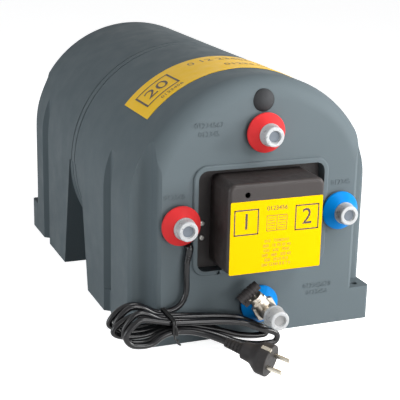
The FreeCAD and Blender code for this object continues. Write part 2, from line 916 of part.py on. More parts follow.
def box_cover():
    """Black cover with rounded edges and the hole over the reset button."""
    shell = front_prism(cover_outline(0, cover_round), -cover_reach, base_front_y)
    rim = [edge for edge in shell.Edges if edge.BoundBox.YMax < -cover_reach + 0.01]
    shell = shell.makeFillet(cover_edge, rim)
    hollow = front_prism(cover_outline(cover_wall, cover_round - cover_wall),
                         -cover_reach + cover_wall, base_front_y + 1)
    hole = rod(reset_hole_radius, 0, cover_reach + 1, V(reset_x, 0, reset_z), FORWARD)
    return shell.cut([hollow, hole])


def cover_label():
    half = cover_label_width / 2
    return front_prism(rectangle(-half, half, cover_label_low, cover_label_low + cover_label_tall, 1.5),
                       -cover_reach - label_thick, -cover_reach)


def base_screws():
    screws = []
    for x in (-base_screw_x, base_screw_x):
        for z in base_screw_z:
            base = V(x, base_front_y, z)
            corners = [(-base_screw_long, 0, 0), (-base_screw_long, base_screw_shank, 0),
                       (0, base_screw_shank, 0), (0, base_screw_radius, 0),
                       (base_screw_head, base_screw_radius, base_screw_head * 0.6), (base_screw_head, 0, 0)]
            screws.append(turned(corners, base, FORWARD))
    return Part.makeCompound(screws)


def thermostat():
    """Thermostat and cut-out block on the base plate, with the socket of the reset button."""
    back = base_front_y
    front = back - thermostat_deep
    low_z = reset_z + reset_socket + 2 - thermostat_tall
    x = reset_x
    block = Part.makeBox(thermostat_width, thermostat_deep, thermostat_tall,
                         V(x - thermostat_width / 2 + reset_socket / 2, front, low_z))
    socket = rod(reset_radius + reset_gap, -front - reset_long, -front + 1, V(x, 0, reset_z), FORWARD)
    return block.cut(socket)


def reset_button():
    front = base_front_y - thermostat_deep
    rear = front + reset_long - reset_travel - 0.5
    corners = [(-rear, 0, 0), (-rear, reset_radius, 0), (-front + 2.5, reset_radius, 0.8), (-front + 2.5, 0, 0)]
    return turned(corners, V(reset_x, 0, reset_z), FORWARD)


def terminal_block():
    low = V(terminal_x - terminal_width / 2, base_front_y - terminal_deep, terminal_z - terminal_tall / 2)
    block = Part.makeBox(terminal_width, terminal_deep, terminal_tall, low)
    cuts = []
    for way in range(terminal_ways):
        x = terminal_x + (way - (terminal_ways - 1) / 2) * terminal_width / terminal_ways
        cuts.append(rod(terminal_screw_radius, 0, 6, V(x, base_front_y - terminal_deep, terminal_z), BACK))
    return block.cut(cuts)


# Dome plug

def dome_plug():
    """Shallow rubber dome on a rim that sits in the face, with its stem."""
    centre = V(dome_x, 0, dome_z)
    crown = (dome_radius ** 2 + dome_height ** 2) / (2 * dome_height)
    ball = Part.makeSphere(crown, centre + BACK * (crown - dome_height))
    dome = ball.common(rod(dome_radius + 1, 0, crown, centre, FORWARD))
    rim = rod(dome_radius, -dome_seat, 0, centre, FORWARD)
    stem = rod(dome_stem_radius, -dome_seat - dome_stem_long, -dome_seat, centre, FORWARD)
    return dome.fuse([rim, stem]).removeSplitter()


# Inlet valve

valve_centre = V(0, 0, port_low_z)


def tilted(shape):
    """Put a piece that was modelled on the relief axis, pointing up, in its place on the valve."""
    placed = shape.copy()
    placed.rotate(V(0, 0, 0), BACK, -relief_tilt)
    placed.translate(valve_centre + FORWARD * relief_y)
    return placed


def valve_body():
    """Brass body: hex socket, round barrel with a relief boss, and a threaded outlet."""
    hex_end = valve_start + valve_hex_long
    body = hexagon(valve_hex_flats, valve_start, hex_end, valve_centre, FORWARD)
    barrel = turned([(hex_end, 0, 0), (hex_end, valve_radius, 0), (valve_front, valve_radius, 0.4),
                     (valve_front, valve_thread_radius, 0), (valve_end, valve_thread_radius, 1),
                     (valve_end, 0, 0)], valve_centre, FORWARD)
    boss = tilted(rod(relief_boss_radius, 0, relief_boss_top, V(0, 0, 0), UP))
    body = body.fuse([barrel, boss]).removeSplitter()
    plug_direction = V(-math.sin(math.radians(valve_plug_turn)), 0, math.cos(math.radians(valve_plug_turn)))
    plug_hole = rod(valve_plug_radius, valve_radius - valve_plug_depth, valve_radius + 2,
                    valve_centre + FORWARD * valve_plug_y, plug_direction)
    cuts = [rod(nipple_radius + thread_gap, 0, nipple_reach + fit_gap, valve_centre, FORWARD),
            rod(valve_bore, 0, valve_end + 1, valve_centre, FORWARD),
            rod(valve_chamber_radius, valve_chamber_start, valve_chamber_end, valve_centre, FORWARD),
            tilted(rod(bonnet_bore, stem_low - 1, relief_boss_top + 1, V(0, 0, 0), UP)),
            tilted(rod(stem_radius + stem_gap + 1, 0, stem_low, V(0, 0, 0), UP)), plug_hole]
    return body.cut(cuts)


def check_poppet():
    """Disc of the check valve with its guide stem, closed against the inlet side of the chamber."""
    disc_start = valve_chamber_end - poppet_thick - fit_gap / 10
    disc = rod(poppet_radius, disc_start, disc_start + poppet_thick, valve_centre, FORWARD)
    stem = rod(poppet_stem_radius, disc_start - poppet_stem_long, disc_start, valve_centre, FORWARD)
    return disc.fuse(stem).removeSplitter()


def check_spring():
    disc_start = valve_chamber_end - poppet_thick - fit_gap / 10
    return coil_spring(poppet_stem_radius + 1.6, valve_chamber_start + spring_wire,
                       disc_start - spring_wire - 0.05, 4, valve_centre, FORWARD)


def coil_spring(radius, start, end, turns, base, direction):
    """Open wire spring, wound in tangent arcs of less than a quarter turn."""
    step = (end - start) / (4 * turns)
    rise = 2 * step / (math.pi * radius)
    stations = []
    for quarter in range(4 * turns + 1):
        angle = math.pi / 2 * quarter
        point = V(radius * math.cos(angle), radius * math.sin(angle), step * quarter)
        stations.append((point, V(-math.sin(angle), math.cos(angle), rise).normalize()))
    edges = []
    for (here, tangent), (there, next_tangent) in zip(stations, stations[1:]):
        edges += biarc(here, tangent, there, next_tangent)
    spring = swept(Part.Wire(edges), spring_wire)
    spring.Placement = FreeCAD.Placement(base + direction * start, FreeCAD.Rotation(UP, direction))
    return spring


def relief_bonnet():
    """Bonnet screwed on the boss, with a hex, a lid that guides the stem, and the lever's lug."""
    start = relief_boss_top
    outer = turned([(start, 0, 0), (start, bonnet_radius, 0), (bonnet_top, bonnet_radius, 1.2),
                    (bonnet_top, 0, 0)], V(0, 0, 0), UP)
    nut = hexagon(bonnet_flats + 3, start, start + 3.5, V(0, 0, 0), UP)
    lug_corners = [(lug_x - lug_radius, bonnet_top - 3, 0), (lug_x + 2 * lug_radius, bonnet_top - 3, 0),
                   (lug_x + lug_radius, lever_pin_z + lug_radius, lug_radius * 0.9),
                   (lug_x - lug_radius, lever_pin_z + lug_radius, lug_radius * 0.9)]
    lug = front_prism(lug_corners, -lug_half, lug_half)
    body = outer.fuse([nut, lug]).removeSplitter()
    cuts = [rod(bonnet_bore, start - 1, bonnet_top - bonnet_lid, V(0, 0, 0), UP),
            rod(stem_radius + stem_gap, 0, bonnet_top + 1, V(0, 0, 0), UP),
            rod(pin_radius + stem_gap, -lug_half - 1, lug_half + 1, V(lug_x, 0, lever_pin_z), BACK)]
    return tilted(body.cut(cuts))


def relief_stem():
    """Relief stem with its sealing washer and the head that the lever lifts."""
    top = lever_pin_z + lug_radius + lever_slot_gap - stem_head_gap
    washer_top = stem_low + stem_washer_thick
    corners = [(stem_low, 0, 0), (stem_low, stem_washer_radius, 0), (washer_top, stem_washer_radius, 0),
               (washer_top, stem_radius, 0), (top, stem_radius, 0.5), (top, 0, 0)]
    return tilted(turned(corners, V(0, 0, 0), UP))


def relief_spring():
    low = stem_low + stem_washer_thick + spring_wire + 0.05
    high = bonnet_top - bonnet_lid - spring_wire - 0.05
    return tilted(coil_spring(stem_radius + 1.9, low, high, 4, V(0, 0, 0), UP))


def test_lever():
    """Ribbed black lever across the bonnet, slotted for the lug and the stem."""
    centre_z = lever_pin_z
    count = int((lever_high_x - lever_low_x) / lever_rib_pitch)
    pitch = (lever_high_x - lever_low_x) / count
    corners = [(lever_low_x, 0, 0)]
    for index in range(count):
        start = lever_low_x + index * pitch
        edge = lever_radius - (0.8 if index in (0, count - 1) else 0)
        corners += [(start, edge, 0), (start + pitch * 0.62, edge, 0)]
        if index < count - 1:
            corners += [(start + pitch * 0.62, lever_radius - lever_rib_depth, 0),
                        (start + pitch, lever_radius - lever_rib_depth, 0)]
    corners += [(lever_high_x, lever_radius - 0.8, 0), (lever_high_x, 0, 0)]
    barrel = turned(corners, V(0, 0, centre_z), RIGHT)
    slot_low = lever_radius + 4
    slot = Part.makeBox(lever_slot_end - lever_low_x + 1, 2 * lever_slot_half,
                        slot_low + lug_radius + lever_slot_gap,
                        V(lever_low_x - 1, -lever_slot_half, centre_z - slot_low))
    pin_hole = rod(pin_radius + stem_gap, -lever_radius - 1, lever_radius + 1, V(lug_x, 0, centre_z), BACK)
    return tilted(barrel.cut([slot, pin_hole]))


def lever_pin():
    half = lever_radius - 1.2
    return tilted(rod(pin_radius, -half, half, V(lug_x, 0, lever_pin_z), BACK))


# Labels

def band_label():
    """Printed band over the top of the drum."""
    low = drum_radius(band_front_y) + band_lift
    high = drum_radius(band_rear_y) + band_lift
    points = [V(0, band_front_y, axis_height + low), V(0, band_front_y, axis_height + low + label_thick),
              V(0, band_rear_y, axis_height + high + label_thick), V(0, band_rear_y, axis_height + high)]
    face = Part.Face(Part.makePolygon(points + points[:1]))
    face.rotate(V(0, 0, axis_height), BACK, -band_half_angle)
    return face.revolve(V(0, 0, axis_height), BACK, 2 * band_half_angle)


# Mains lead

def cord_gland():
    """Right-angled grommet: stem in the wall, flange on the face and a tapered sleeve downwards."""
    root = V(gland_x, 0, gland_z)
    elbow = root + BACK * gland_axis_y
    parts = [rod(gland_stem_radius, 0, gland_stem_long, root, BACK),
             rod(gland_flange_radius, 0, gland_flange_thick, root, FORWARD),
             Part.makeSphere(gland_root_radius, elbow),
             Part.makeCone(gland_root_radius, gland_tip_radius, gland_long, elbow, UP * -1)]
    throat = rod(gland_root_radius, 0, -gland_axis_y, root, FORWARD)
    return throat.fuse(parts).removeSplitter()


def lead_points():
    return [V(gland_x, gland_axis_y, gland_z - gland_long - lead_gap), lead_bend, lead_end]


def plug_face_centre():
    lean = math.sqrt(1 - plug_axis.z ** 2)
    return V(plug_face_x, plug_face_y, plug_radius * lean + fit_gap / 2)


def plug_root():
    return plug_face_centre() - plug_axis * (plug_body_long + relief_sleeve_long)


def tail_points():
    return [tail_start, plug_root() - plug_axis * tail_run, plug_root()]


def lead_tube(name, points):
    """Free stretch of the lead; prints its bends and compares its volume with section times length."""
    radii = lead_radii(points)
    path = bent_path(points, radii)
    tube_shape = swept(path, cord_radius)
    expected = math.pi * cord_radius ** 2 * path.Length
    print(name, "bend radii", [round(radius, 1) for radius in radii], "volume ratio",
          round(tube_shape.Volume / expected, 4))
    return tube_shape


def hank_stations():
    """Points and tangents along the hank, from the entry to the tail."""
    slope = -hank_slope
    entry = (lead_end - lead_bend).normalize()
    stations = [(lead_end + entry * 2 * cord_radius, entry)]
    for loop in range(hank_loops + 1):
        rise = hank_loops - loop
        low, high = left_low + left_low_rise * rise, left_high + left_high_rise * rise
        end_x = right_end_x + right_end_step * rise
        rest_x, turn_x = left_x + left_step * loop, left_end_x + left_end_step * loop
        table = [(0.0, waist_x, waist_high, -1, waist_rise if loop else 0), (0.12, rest_x, high, -1, 0),
                 (0.21, turn_x, (low + high) / 2, 0, -1), (0.3, rest_x, low, 1, 0),
                 (0.42, waist_x, waist_low, 1, 0)]
        if loop < hank_loops:
            table += [(0.55, right_x, right_low, 1, -0.42), (0.67, floor_x, floor_z, 1, 0),
                      (0.745, end_x, right_end_z, 0, 1), (0.81, floor_x, return_z, -1, 0.18),
                      (0.92, right_x, right_high, -1, waist_rise)]
        for turn, x, z, tangent_x, tangent_z in table:
            point = V(x, hank_back_y - hank_pitch * (loop + turn), z)
            stations.append((point, V(tangent_x, slope, tangent_z).normalize()))
    points = tail_points()
    leave = (points[1] - points[0]).normalize()
    stations.append((points[0] - leave * 2 * cord_radius, leave))
    return stations


def hank_path():
    stations = hank_stations()
    edges = [line(lead_end, stations[0][0])]
    for (start, start_tangent), (end, end_tangent) in zip(stations, stations[1:]):
        edges += biarc(start, start_tangent, end, end_tangent)
    edges.append(line(stations[-1][0], tail_start))
    return Part.Wire(edges)


def least_gap(path):
    """Smallest distance between strands, measured on points along the path."""
    points = path.discretize(Distance=3.0)
    step = path.Length / (len(points) - 1)
    skip = int(12 * cord_radius / step)
    least = BIG
    for index in range(0, len(points) - skip, 2):
        near = points[index]
        for other in points[index + skip:]:
            least = min(least, (near - other).Length)
    return least - 2 * cord_radius


def cord_hank():
    path = hank_path()
    radii = [edge.Curve.Radius for edge in path.Edges if hasattr(edge.Curve, "Radius")]
    tube_shape = swept(path, cord_radius)
    expected = math.pi * cord_radius ** 2 * path.Length
    print("hank length", round(path.Length), "least radius", round(min(radii), 1), "least gap",
          round(least_gap(path), 2), "volume ratio", round(tube_shape.Volume / expected, 4))
    return tube_shape


def cord_tie():
    """Two turns of wire round the waist of the hank, with a twisted end."""
    reach = cord_radius + tie_gap + tie_wire
    back = hank_back_y + reach
    front = hank_back_y - hank_pitch * (hank_loops + 0.42) - reach
    low, high = waist_low - reach, waist_high + reach
    turns = []
    for x in (waist_x - tie_half_spacing, waist_x + tie_half_spacing):
        wire = rounded_wire(rectangle(front, back, low, high, tie_corner), lambda a, b: V(x, a, b))
        turns.append(swept(wire, tie_wire))
    knot = V(waist_x - 2 * tie_half_spacing, front + tie_corner, low)
    turns.append(rod(tie_wire * 1.1, 0, 4 * tie_half_spacing, knot, RIGHT))
    tail_direction = V(0.3, -0.5, -0.6).normalize()
    turns.append(rod(tie_wire, 0, tie_tail, V(waist_x, front + tie_corner, low), tail_direction))
    return turns[0].fuse(turns[1:])


def plug_sides():
    """Direction from pin to pin, and the direction of the earth clips."""
    level = plug_axis.cross(UP).normalize()
    rise = level.cross(plug_axis)
    angle = math.radians(plug_roll)
    pins = level * math.cos(angle) + rise * math.sin(angle)
    return pins, plug_axis.cross(pins)


def earth_clips():
    centre = plug_face_centre()
    pins, clips = plug_sides()
    shapes = []
    for side in (-1, 1):
        strip = Part.makeBox(earth_clip_width, earth_clip_thick, earth_clip_long,
                             V(-earth_clip_width / 2, plug_radius - earth_clip_thick, -earth_clip_long))
        strip = strip.fuse(Part.makeBox(earth_clip_width, 3 * earth_clip_thick, earth_clip_thick / 2,
                                        V(-earth_clip_width / 2, plug_radius - 3 * earth_clip_thick, 0)))
        outward = clips * side
        across = outward.cross(plug_axis)
        turn = FreeCAD.Rotation(across, outward, plug_axis, "ZXY")
        strip.Placement = FreeCAD.Placement(centre, turn)
        shapes.append(strip.removeSplitter())
    return shapes


def plug_body():
    """Moulded plug: ribbed sleeve, tapered grip and round rim with seats for the earth clips."""
    rim = plug_body_long - plug_rim_long
    grip = relief_sleeve_long
    corners = [(0, 0, 0), (0, relief_sleeve_radius, 0)]
    pitch = relief_sleeve_long / relief_sleeve_ribs
    for rib in range(1, relief_sleeve_ribs):
        swell = relief_sleeve_radius + 0.35 * rib
        groove_end = rib * pitch
        groove_start = groove_end - 1.4
        corners += [(groove_start, swell, 0), (groove_start, swell - 1, 0),
                    (groove_end, swell - 1, 0), (groove_end, swell, 0)]
    corners += [(grip, relief_sleeve_radius + 1.4, 0), (grip, plug_grip_radius - 1.5, 2),
                (grip + rim * 0.55, plug_grip_radius, 8), (grip + rim, plug_radius, 6),
                (grip + plug_body_long, plug_radius, 1), (grip + plug_body_long, 0, 0)]
    body = turned(corners, plug_root(), plug_axis)
    return body.cut(earth_clips())


def plug_pins():
    pins, clips = plug_sides()
    shapes = []
    for side in (-1, 1):
        base = plug_face_centre() + pins * (side * plug_pin_spacing / 2)
        corners = [(0, 0, 0), (0, plug_pin_radius, 0), (plug_pin_long, plug_pin_radius, 1.6),
                   (plug_pin_long, 0, 0)]
        shapes.append(turned(corners, base, plug_axis))
    return Part.makeCompound(shapes)


# Casing and insulation
export("front_shell", front_shell())
export("rear_shell", rear_shell())
export("insulation_front", insulation_front())
export("insulation_rear", insulation_rear())
export("band_label", band_label())

# Tank
export("tank_barrel", tank_barrel())
export("tank_front_head", front_head())
export("tank_rear_head", rear_head())
export("tank_flange", tank_flange())
export("exchanger_tube", exchanger_tube())

# Ports with collars and caps
for port_name, port_centre in port_centres().items():
    export(port_name, port_pipe(port_centre))
    export(port_name + "_collar", collar(port_centre))
    if port_name != "cold_inlet":
        export(port_name + "_cap", thread_cap(port_centre, nipple_radius, cap_radius,
                                              collar_reach + fit_gap, cap_front))
export("dome_plug", dome_plug())

# Element flange
export("flange_gasket", gasket())
export("element_flange", element_flange())
export("flange_bolts", flange_bolt_group())
export("heating_element", heating_element())
export("thermostat_pocket", thermostat_pocket())
export("anode_rod", anode_rod())

# Connection box
export("box_base", box_base())
export("base_screws", base_screws())
export("box_cover", box_cover())
export("cover_label", cover_label())
export("thermostat", thermostat())
export("reset_button", reset_button())
export("terminal_block", terminal_block())

# Inlet valve
export("valve_body", valve_body())
export("check_poppet", check_poppet())
export("check_spring", check_spring())
export("relief_bonnet", relief_bonnet())
export("relief_stem", relief_stem())
export("relief_spring", relief_spring())
export("test_lever", test_lever())
export("lever_pin", lever_pin())
export("valve_cap", thread_cap(valve_centre, valve_thread_radius, cap_radius,
                               valve_front + fit_gap, valve_cap_front))

# Mains lead
export("cord_gland", cord_gland())
export("power_cord", lead_tube("power_cord", lead_points()))
export("cord_hank", cord_hank())
export("cord_tail", lead_tube("cord_tail", tail_points()))
export("cord_tie", cord_tie())
export("plug_body", plug_body())
export("plug_pins", plug_pins())
export("plug_earth_clips", Part.makeCompound(earth_clips()))
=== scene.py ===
import math

import bmesh
import bpy
from mathutils import Matrix, Vector


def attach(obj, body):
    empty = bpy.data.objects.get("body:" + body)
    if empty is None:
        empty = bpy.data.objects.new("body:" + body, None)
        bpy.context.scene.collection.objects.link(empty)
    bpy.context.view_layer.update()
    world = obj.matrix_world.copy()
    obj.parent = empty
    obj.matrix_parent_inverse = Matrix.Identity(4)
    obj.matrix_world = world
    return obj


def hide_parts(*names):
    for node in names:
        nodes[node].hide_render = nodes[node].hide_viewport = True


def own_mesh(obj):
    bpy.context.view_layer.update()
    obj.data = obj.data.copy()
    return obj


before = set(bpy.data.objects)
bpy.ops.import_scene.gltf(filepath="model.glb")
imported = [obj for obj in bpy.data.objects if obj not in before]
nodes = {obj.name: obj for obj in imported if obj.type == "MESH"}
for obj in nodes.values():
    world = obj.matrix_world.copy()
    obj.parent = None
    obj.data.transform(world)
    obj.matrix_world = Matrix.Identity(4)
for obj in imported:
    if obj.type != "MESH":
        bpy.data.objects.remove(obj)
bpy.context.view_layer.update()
scene = bpy.context.scene

# Places are in millimetres, x right, y back and z up, from the ground below the middle of the front face
FACE_Y = -0.219
AXIS_Z = 159.0
PORT_SIDE_X, PORT_SIDE_Z = 101.7, 147.5
PORT_TOP_Z, PORT_LOW_Z = 249.5, 40.0
BONNET_FOOT = (0, -27, PORT_LOW_Z)
BONNET_TILT = math.radians(40)
UPRIGHT = (math.pi / 2, 0, 0)


def place(x, y, z):
    return Vector((x / 1000, y / 1000 + FACE_Y, z / 1000))


# Camera, fitted to the edges of the casing

CAMERA_AT = (-527.6, -1117.2, 531.3)
CAMERA_YAW, CAMERA_PITCH, CAMERA_ROLL = 0.3833, 0.288, 0.0227
FOCAL_PIXELS, IMAGE_PIXELS = 1102, 400
SENSOR_WIDTH = 36.0


def add_camera():
    yaw, pitch, roll = CAMERA_YAW, CAMERA_PITCH, CAMERA_ROLL
    forward = Vector((math.sin(yaw) * math.cos(pitch), math.cos(yaw) * math.cos(pitch), -math.sin(pitch)))
    level = Vector((math.cos(yaw), -math.sin(yaw), 0))
    up = level.cross(forward)
    right = level * math.cos(roll) + up * math.sin(roll)
    top = up * math.cos(roll) - level * math.sin(roll)
    camera = bpy.data.objects.new("camera", bpy.data.cameras.new("camera"))
    camera.data.lens = SENSOR_WIDTH * FOCAL_PIXELS / IMAGE_PIXELS
    camera.data.sensor_width = SENSOR_WIDTH
    camera.data.clip_start = 0.05
    camera.matrix_world = Matrix.Translation(place(*CAMERA_AT)) @ Matrix(
        (right, top, -forward)).transposed().to_4x4()
    scene.collection.objects.link(camera)
    scene.camera = camera


# Materials

GRAIN_DEPTH = 0.0004


def new_material(name):
    material = bpy.data.materials.new(name)
    material.use_nodes = True
    tree = material.node_tree
    tree.nodes.clear()
    output = tree.nodes.new("ShaderNodeOutputMaterial")
    shader = tree.nodes.new("ShaderNodeBsdfPrincipled")
    tree.links.new(shader.outputs["BSDF"], output.inputs["Surface"])
    return material, tree, shader


def noise(tree, scale, detail=3.0):
    coordinates = tree.nodes.new("ShaderNodeTexCoord")
    texture = tree.nodes.new("ShaderNodeTexNoise")
    texture.inputs["Scale"].default_value = scale
    texture.inputs["Detail"].default_value = detail
    tree.links.new(coordinates.outputs["Object"], texture.inputs["Vector"])
    return texture.outputs["Fac"]


def ramp(tree, value, low, high, start=0.3, end=0.7):
    node = tree.nodes.new("ShaderNodeValToRGB")
    node.color_ramp.elements[0].position = start
    node.color_ramp.elements[1].position = end
    node.color_ramp.elements[0].color = (*low, 1)
    node.color_ramp.elements[1].color = (*high, 1)
    tree.links.new(value, node.inputs["Fac"])
    return node.outputs["Color"]


def shade(colour, factor):
    return tuple(min(1.0, channel * factor) for channel in colour)


def surface(name, colour, roughness, spread, patch, grain, bump, metallic=0.0, rough_spread=0.08,
            transmission=0.0, specular=0.5):
    """Plastic, rubber or metal with cloudy colour, uneven gloss and a fine grain."""
    material, tree, shader = new_material(name)
    cloud = noise(tree, patch, 4.0)
    tree.links.new(ramp(tree, cloud, shade(colour, 1 - spread), shade(colour, 1 + spread)),
                   shader.inputs["Base Color"])
    gloss = noise(tree, patch * 6, 3.0)
    low, high = max(0.02, roughness - rough_spread), min(1.0, roughness + rough_spread)
    tree.links.new(ramp(tree, gloss, (low,) * 3, (high,) * 3), shader.inputs["Roughness"])
    bumps = tree.nodes.new("ShaderNodeBump")
    bumps.inputs["Strength"].default_value = bump
    bumps.inputs["Distance"].default_value = GRAIN_DEPTH
    tree.links.new(noise(tree, grain, 2.0), bumps.inputs["Height"])
    tree.links.new(bumps.outputs["Normal"], shader.inputs["Normal"])
    shader.inputs["Metallic"].default_value = metallic
    shader.inputs["Transmission Weight"].default_value = transmission
    shader.inputs["Specular IOR Level"].default_value = specular
    return material


casing = surface("casing_plastic", (0.095, 0.116, 0.126), 0.55, spread=0.04, patch=7, grain=1500,
                 bump=0.10, specular=0.04)
cover_black = surface("cover_plastic", (0.030, 0.025, 0.024), 0.46, spread=0.08, patch=14, grain=1800,
                      bump=0.14, specular=0.22)
deep_black = surface("base_plastic", (0.022, 0.019, 0.019), 0.5, spread=0.1, patch=14, grain=1600,
                     bump=0.1, specular=0.2)
collar_red = surface("collar_red", (0.56, 0.032, 0.034), 0.45, spread=0.06, patch=30, grain=1200,
                     bump=0.06, specular=0.05)
collar_blue = surface("collar_blue", (0.001, 0.17, 0.50), 0.42, spread=0.06, patch=30, grain=1200,
                      bump=0.06, specular=0.07)
cap_white = surface("cap_film", (0.50, 0.51, 0.52), 0.32, spread=0.05, patch=40, grain=500,
                    bump=0.05, transmission=0.3, specular=0.35)
nickel = surface("nickel", (0.50, 0.455, 0.395), 0.42, spread=0.08, patch=60, grain=1200,
                 bump=0.03, metallic=1.0, rough_spread=0.04)
steel = surface("steel", (0.56, 0.56, 0.55), 0.32, spread=0.08, patch=30, grain=900,
                bump=0.05, metallic=1.0)
zinc = surface("zinc", (0.40, 0.39, 0.37), 0.34, spread=0.12, patch=90, grain=1500,
               bump=0.06, metallic=1.0)
brass = surface("pin_metal", (0.46, 0.43, 0.37), 0.24, spread=0.08, patch=80, grain=1500,
                bump=0.03, metallic=1.0)
anode_grey = surface("anode_metal", (0.4, 0.4, 0.4), 0.6, spread=0.15, patch=40, grain=700,
                     bump=0.2, metallic=0.8)
foam = surface("foam", (0.72, 0.58, 0.28), 0.9, spread=0.12, patch=30, grain=600, bump=0.4)
gasket_rubber = surface("gasket_rubber", (0.02, 0.02, 0.02), 0.7, spread=0.2, patch=40, grain=900,
                        bump=0.1)
plug_rubber = surface("top_plug_rubber", (0.034, 0.035, 0.037), 0.62, spread=0.15, patch=60, grain=700,
                      bump=0.5, specular=0.08)
lead_black = surface("lead_sheath", (0.005, 0.005, 0.006), 0.22, spread=0.2, patch=60, grain=1400,
                     bump=0.01, rough_spread=0.02, specular=0.32)
moulded_black = surface("plug_moulding", (0.031, 0.029, 0.029), 0.46, spread=0.2, patch=40, grain=1600,
                        bump=0.12, specular=0.07)
tie_black = surface("tie_sheath", (0.012, 0.012, 0.012), 0.4, spread=0.2, patch=80, grain=1500,
                    bump=0.05, specular=0.25)
button_red = surface("button_red", (0.5, 0.02, 0.02), 0.35, spread=0.1, patch=80, grain=900, bump=0.03)
label_yellow = surface("label_film", (0.66, 0.415, 0.0), 0.45, spread=0.015, patch=20, grain=600,
                       bump=0.02, specular=0.02)
band_yellow = surface("band_film", (0.84, 0.50, 0.006), 0.36, spread=0.03, patch=15, grain=600,
                      bump=0.02, specular=0.08)
print_brown = surface("print_ink", (0.028, 0.012, 0.006), 0.5, spread=0.1, patch=60, grain=900, bump=0.02)
print_pale = surface("print_ochre", (0.26, 0.15, 0.01), 0.5, spread=0.1, patch=60, grain=900, bump=0.02)
print_dim = surface("print_dim_brown", (0.20, 0.12, 0.035), 0.5, spread=0.1, patch=60, grain=900, bump=0.02)
cap_grey = surface("cap_disc_grey", (0.115, 0.132, 0.155), 0.4, spread=0.1, patch=120, grain=900,
                   bump=0.05, specular=0.2)
cap_pale = surface("cap_disc_pale", (0.25, 0.25, 0.25), 0.4, spread=0.1, patch=120, grain=900,
                   bump=0.05, specular=0.2)

looks = {
    casing: ["front_shell", "rear_shell"],
    foam: ["insulation_front", "insulation_rear"],
    steel: ["tank_barrel", "tank_front_head", "tank_rear_head", "tank_flange", "element_flange",
            "exchanger_tube", "hot_outlet", "cold_inlet", "engine_inlet", "engine_outlet",
            "heating_element", "thermostat_pocket"],
    anode_grey: ["anode_rod"],
    gasket_rubber: ["flange_gasket"],
    zinc: ["flange_bolts", "base_screws", "check_spring", "relief_spring", "relief_stem"],
    collar_red: ["hot_outlet_collar", "engine_inlet_collar"],
    collar_blue: ["cold_inlet_collar", "engine_outlet_collar"],
    cap_white: ["hot_outlet_cap", "engine_inlet_cap", "engine_outlet_cap", "valve_cap"],
    nickel: ["valve_body", "relief_bonnet"],
    cover_black: ["box_cover"],
    deep_black: ["test_lever", "lever_pin", "check_poppet", "box_base", "thermostat", "terminal_block"],
    button_red: ["reset_button"],
    label_yellow: ["cover_label"],
    band_yellow: ["band_label"],
    plug_rubber: ["dome_plug"],
    lead_black: ["power_cord", "cord_hank", "cord_tail", "cord_gland"],
    moulded_black: ["plug_body"],
    tie_black: ["cord_tie"],
    brass: ["plug_pins", "plug_earth_clips"],
}
for look, names in looks.items():
    for name in names:
        node = nodes[name]
        if not node.material_slots:
            node.data.materials.append(look)
        for held in node.material_slots:
            held.material = look


def blacken_lug():
    """The lug that holds the lever is black, like the lever, while its bonnet is nickel."""
    lug_from_axis = 0.0088
    bonnet = nodes["relief_bonnet"]
    bonnet.data.materials.append(deep_black)
    across = Vector((math.cos(BONNET_TILT), 0, math.sin(BONNET_TILT)))
    for polygon in bonnet.data.polygons:
        middle = bonnet.matrix_world @ polygon.center
        if (middle - place(*BONNET_FOOT)).dot(across) < -lug_from_axis:
            polygon.material_index = len(bonnet.data.materials) - 1


blacken_lug()


# Mains lead: out of the strain relief, through the tied hank and on to the plug

LEAD_RADIUS = 0.0035
LEAD_START = (-94.4, -6.8, 102.0)
PLUG_ROOT = (-70.56, -71.71, 27.78)
WAIST_X = -123.0
HANK_BACK_Y, LOOP_PITCH, LOOPS = -9.5, 8.0, 4

# Right end of each loop: height of its lower and upper strand, and how far right its fold reaches
FOLDS = [(4.5, 14.0, 1.0), (8.0, 17.0, 0.0), (11.5, 20.3, -1.5), (3.8, 16.5, 9.0)]
# Left end of each loop, as shifts of its reach, its upper strand and its lower strand
LEFT_ENDS = [(0.8, -1.0, 0.5), (2.5, 0.5, 1.5), (-5.0, -5.0, 1.5), (1.5, 1.5, -0.5), (-1.5, -2.5, 1.0)]
# Between waist and right end, as shifts in height of the lower and the upper strand
STRANDS = [(0.0, 0.0), (-1.5, 2.5), (1.0, -1.0), (-1.0, 2.0)]


def left_half(loop):
    """From the waist round the left end and back, as (share of the loop, x, z)."""
    rise = LOOPS - loop
    reach, over, under = LEFT_ENDS[loop]
    low, high = 24.0 + 2.4 * rise + under, 58.0 + 1.1 * rise + over
    middle = (low + high) / 2 - 0.9 * rise
    rest, outer = -161.0 + 1.2 * loop, -190.0 + 3.0 * loop + reach
    return [(0.0, WAIST_X, 45.8), (0.05, -138, 49.6), (0.1, -152, high - 2), (0.14, rest - 6, high),
            (0.18, outer + 8, high - 7), (0.215, outer - 1.5, middle - 2), (0.25, outer + 4.5, low + 2.5),
            (0.29, rest - 9, low - 1.0), (0.33, rest + 8, low - 1.0), (0.38, -138, 33),
            (0.42, WAIST_X, 36.8)]


def right_half(loop):
    """From the waist round the right end and back, as (share of the loop, x, z)."""
    bottom, top, fold = FOLDS[loop]
    half, centre = (top - bottom) / 2, (top + bottom) / 2
    fall, lift = STRANDS[loop]
    return [(0.46, -103, 36 + 0.5 * fall), (0.51, -80, 29 + fall),
            (0.56, -59, 18 + 0.4 * bottom + fall), (0.61, -38, 5 + 0.9 * bottom),
            (0.66, -16, bottom), (0.7, fold - 1.6 * half, bottom), (0.72, fold - 0.55 * half, bottom),
            (0.735, fold, centre - 0.42 * half), (0.75, fold, centre + 0.42 * half),
            (0.765, fold - 0.7 * half, top + 0.5), (0.8, -15, 19 + 0.3 * top), (0.85, -35, 32.5 + lift),
            (0.9, -61, 37.2 + lift), (0.95, -91, 41.5 + 0.5 * lift)]


